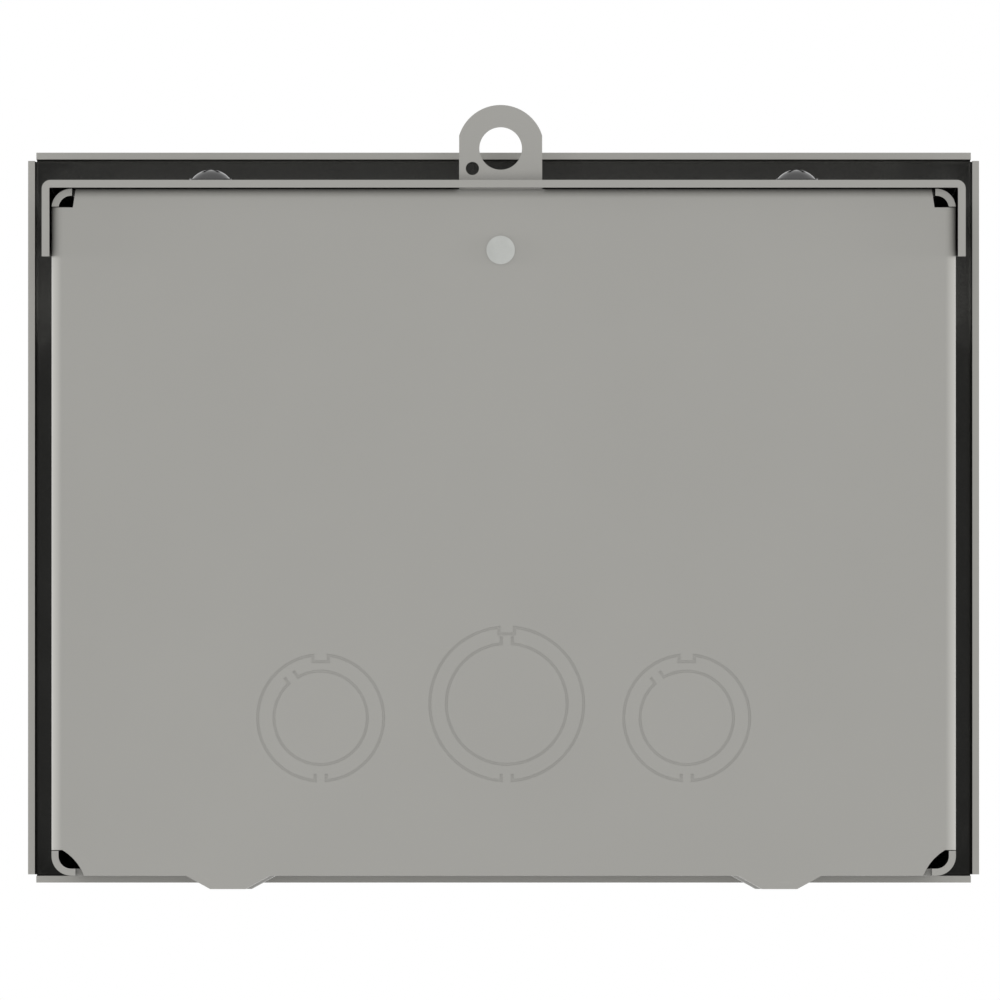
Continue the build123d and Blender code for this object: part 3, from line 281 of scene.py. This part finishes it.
def rubber(name, tone):
    """Closed-cell gasket foam: matt, with fine pores."""
    material, nodes, links, shader = new_material(name)
    place = coordinates(nodes)
    cells = nodes.new("ShaderNodeTexVoronoi")
    cells.inputs["Scale"].default_value = 1400.0
    links.new(place, cells.inputs["Vector"])
    colour = mix_colour(nodes, links, cells.outputs["Distance"], shade(tone, 0.6), shade(tone, 1.6))
    links.new(colour, shader.inputs["Base Color"])
    rough = remap(nodes, links, cells.outputs["Distance"], FULL_RANGE, (0.8, 0.95))
    links.new(rough, shader.inputs["Roughness"])
    dimples = bump(nodes, links, cells.outputs["Distance"], distance=0.0001, strength=0.5)
    links.new(dimples, shader.inputs["Normal"])
    return material


def finishes():
    """One material for each slot of the record."""
    return {
        "gray_enamel": enamel("gray_enamel_finish"),
        "dark_nickel": plated("dark_nickel_finish", (0.09, 0.09, 0.09), 0.14),
        "zinc_plate": plated("zinc_plate_finish", (0.49, 0.50, 0.48), 0.34),
        "galvanised_steel": spangled("galvanised_finish", (0.50, 0.52, 0.53)),
        "bare_aluminium": plated("bare_aluminium_finish", (0.72, 0.73, 0.74), 0.30, (1.0, 8.0, 1.0)),
        "tinned_bus": plated("tinned_bus_finish", (0.74, 0.74, 0.72), 0.26),
        "dark_thermoplastic": moulded("dark_thermoplastic_finish", (0.045, 0.045, 0.050), 0.55),
        "black_moulding": moulded("black_moulding_finish", (0.022, 0.022, 0.024), 0.42),
        "handle_moulding": moulded("handle_moulding_finish", (0.014, 0.014, 0.015), 0.28),
        "green_screw": plated("green_screw_finish", (0.04, 0.30, 0.10), 0.30),
        "black_rubber": rubber("black_rubber_finish", (0.022, 0.022, 0.022)),
    }


def paint_hood_inside_shade(mesh, low, high):
    """Gives the inward faces of a downward pan an enamel with strong painted shade, so the inside of the
    hood is painted dark.
    """
    mesh.materials.append(enamel("hood_inside_painted_shade_finish", HOOD_PAINTED_SHADE_REACH, HOOD_PAINTED_SHADE, HOOD_INSIDE_SHINE))
    mouth = Vector(((low.x + high.x) / 2, (low.y + high.y) / 2, low.z))
    for face in mesh.polygons:
        if face.normal.dot(mouth - face.center) > FACING_INWARD:
            face.material_index = 1


def dress(nodes, record):
    """Gives every CAD node the finish of its slot, and the hood, hasp and wrapper an enamel with
    stronger painted shade.
    """
    made = finishes()
    for part in record["subparts"]:
        mesh = nodes[part["node"]].data
        mesh.materials.clear()
        mesh.materials.append(made[part["material_slot"]])
    # painted shade: the hood's inward faces are painted dark
    paint_hood_inside_shade(nodes["rain_hood"].data, *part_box("rain_hood"))
    # painted shade: the hasp and the wrapper get stronger painted shade in their corners
    nodes["hasp_plate"].data.materials[0] = enamel("hasp_painted_shade_finish", shade_range=HASP_PAINTED_SHADE)
    nodes["box_wrapper"].data.materials[0] = enamel("wrapper_painted_shade_finish", shade_range=WRAPPER_PAINTED_SHADE)


def set_world():
    """A white room: plain white behind the object, and even light from all round it."""
    world = bpy.data.worlds.new("white_room")
    bpy.context.scene.world = world
    world.use_nodes = True
    nodes = world.node_tree.nodes
    links = world.node_tree.links
    lit = nodes["Background"]
    lit.inputs["Color"].default_value = WHITE
    lit.inputs["Strength"].default_value = WORLD_STRENGTH
    seen = nodes.new("ShaderNodeBackground")
    seen.inputs["Color"].default_value = WHITE
    seen.inputs["Strength"].default_value = SEEN_STRENGTH
    path = nodes.new("ShaderNodeLightPath")
    direct = nodes.new("ShaderNodeMath")
    direct.operation = "MAXIMUM"
    links.new(path.outputs["Is Camera Ray"], direct.inputs[0])
    links.new(path.outputs["Is Glossy Ray"], direct.inputs[1])
    mix = nodes.new("ShaderNodeMixShader")
    links.new(direct.outputs["Value"], mix.inputs["Fac"])
    links.new(lit.outputs["Background"], mix.inputs[1])
    links.new(seen.outputs["Background"], mix.inputs[2])
    links.new(mix.outputs["Shader"], nodes["World Output"].inputs["Surface"])


def add_sun(name, direction, strength, spread):
    """A broad, far, soft light that shines along a direction."""
    light = bpy.data.lights.new(name, "SUN")
    light.energy = strength
    light.angle = math.radians(spread)
    lamp = bpy.data.objects.new(name, light)
    lamp.rotation_mode = "QUATERNION"
    lamp.rotation_quaternion = Vector(direction).to_track_quat("-Z", "Y")
    lamp.visible_glossy = False
    bpy.context.scene.collection.objects.link(lamp)


def add_floor(low, high):
    """A pale floor that is seen from above only, and takes no light from the object's underside."""
    mesh = bpy.data.meshes.new("studio_floor")
    made = bmesh.new()
    bmesh.ops.create_grid(made, x_segments=1, y_segments=1, size=FLOOR_HALF_SIZE)
    made.to_mesh(mesh)
    made.free()
    floor = bpy.data.objects.new("studio_floor", mesh)
    floor.location = ((low.x + high.x) / 2, (low.y + high.y) / 2, low.z - FLOOR_DROP)
    bpy.context.scene.collection.objects.link(floor)
    floor.visible_shadow = False
    floor.visible_diffuse = False
    floor.visible_glossy = False
    floor.visible_transmission = False
    material, nodes, links, shader = new_material("studio_floor_paint")
    cloud = noise(nodes, links, coordinates(nodes), per_metre=3.0)
    colour = mix_colour(nodes, links, cloud, FLOOR_DARK, FLOOR_LIGHT)
    links.new(colour, shader.inputs["Base Color"])
    shader.inputs["Roughness"].default_value = FLOOR_ROUGHNESS
    clear = nodes.new("ShaderNodeBsdfTransparent")
    side = nodes.new("ShaderNodeNewGeometry")
    mix = nodes.new("ShaderNodeMixShader")
    links.new(side.outputs["Backfacing"], mix.inputs["Fac"])
    links.new(shader.outputs["BSDF"], mix.inputs[1])
    links.new(clear.outputs["BSDF"], mix.inputs[2])
    links.new(mix.outputs["Shader"], nodes["Material Output"].inputs["Surface"])
    mesh.materials.append(material)


def add_camera():
    """A far camera below the back of the hood, looking up, with the object's front towards the top."""
    bottom_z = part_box("bottom_wall")[0].z
    distance = LENS_MM / SENSOR_MM * VIEW_WIDTH
    middle = (cad_low + cad_high) / 2
    target = Vector((middle.x + FRAME_SHIFT[0], middle.y + FRAME_SHIFT[1], bottom_z))
    place = Vector((target.x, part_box("rain_hood")[1].y, bottom_z - distance))
    data = bpy.data.cameras.new("camera")
    data.lens = LENS_MM
    data.sensor_width = SENSOR_MM
    data.clip_start = CLIP_START
    data.clip_end = 2 * distance
    camera = bpy.data.objects.new("camera", data)
    camera.location = place
    forward = (target - place).normalized()
    right = Vector((1.0, 0.0, 0.0))
    up = right.cross(forward)
    camera.rotation_mode = "QUATERNION"
    rotation = Matrix((right, up, -forward)).transposed()
    camera.rotation_quaternion = rotation.to_quaternion()
    bpy.context.scene.collection.objects.link(camera)
    bpy.context.scene.camera = camera


add_camera()
dress(frame["nodes"], frame["record"])
set_world()
add_sun("under_light", UNDER_DIRECTION, UNDER_STRENGTH, UNDER_SPREAD)
for side in (-1.0, 1.0):
    add_sun("side_light", (side, 0.0, 0.0), SIDE_STRENGTH, SIDE_SPREAD)
add_sun("key_light", KEY_DIRECTION, KEY_STRENGTH, KEY_SPREAD)
add_floor(cad_low, cad_high)
bpy.context.scene.view_settings.view_transform = "Standard"
